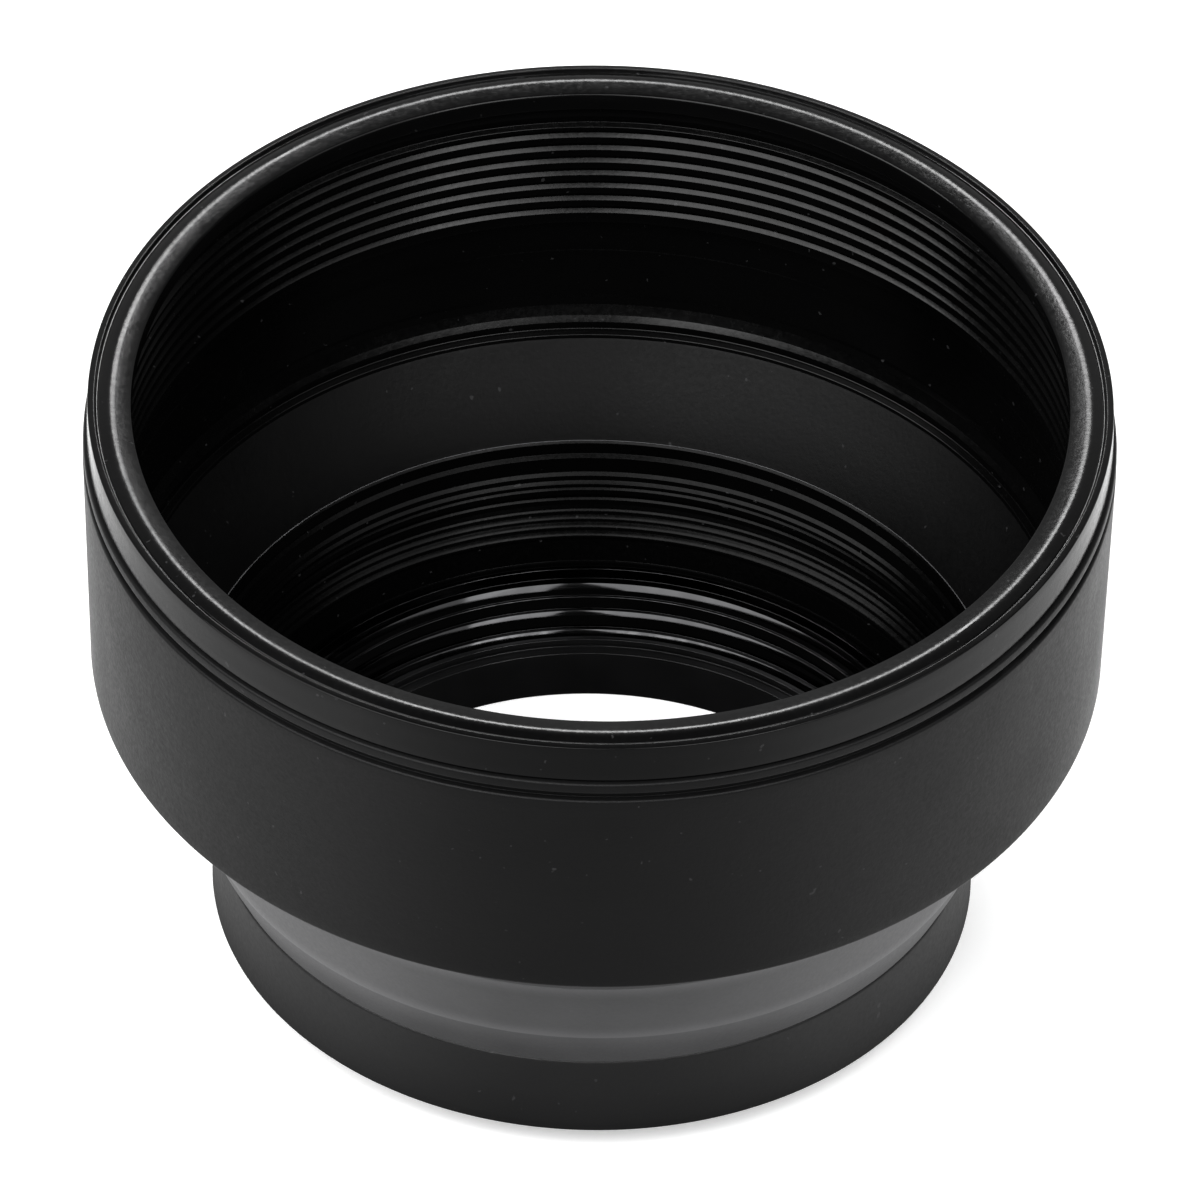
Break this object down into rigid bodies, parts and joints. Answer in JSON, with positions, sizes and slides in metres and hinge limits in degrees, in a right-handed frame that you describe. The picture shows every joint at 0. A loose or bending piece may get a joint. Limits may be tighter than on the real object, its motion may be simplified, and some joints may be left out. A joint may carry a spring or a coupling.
{
  "type": "lens hood",
  "caption": "Collapsible rubber lens hood on a screw-in metal ring, folding down in two stages by thin webs that turn inside out.",
  "frame": {"origin": "centre of the metal ring's shoulder, the face that seats on the lens", "axes": "+Z along the optical axis, out of the front opening; the hood is round, so X and Y are any two directions across it"},
  "size_m": [0.0816, 0.0816, 0.0529],
  "materials": {
    "anodised_ring": "black anodised, turned",
    "anodised_clamp": "black anodised, turned",
    "rubber_collar": "satin moulded",
    "rubber_fold": "smooth satin, flexed",
    "rubber_neck": "smooth satin",
    "rubber_barrel": "satin moulded"
  },
  "bodies": {
    "base": {"mount_ring": "anodised_ring", "retaining_ring": "anodised_clamp", "base_collar": "rubber_collar"},
    "neck": {"lower_fold": "rubber_fold", "mid_sleeve": "rubber_neck"},
    "drum": {"upper_fold": "rubber_fold", "front_barrel": "rubber_barrel", "front_rim": "rubber_barrel"}
  },
  "joints": [
    {"name": "mid_slide", "type": "slide", "parent": "base", "child": "neck", "axis": [0, 0, 1], "range_m": [-0.0082, 0], "deforming": ["lower_fold"]},
    {"name": "front_slide", "type": "slide", "parent": "neck", "child": "drum", "axis": [0, 0, 1], "range_m": [-0.013, 0], "deforming": ["upper_fold"]}
  ]
}
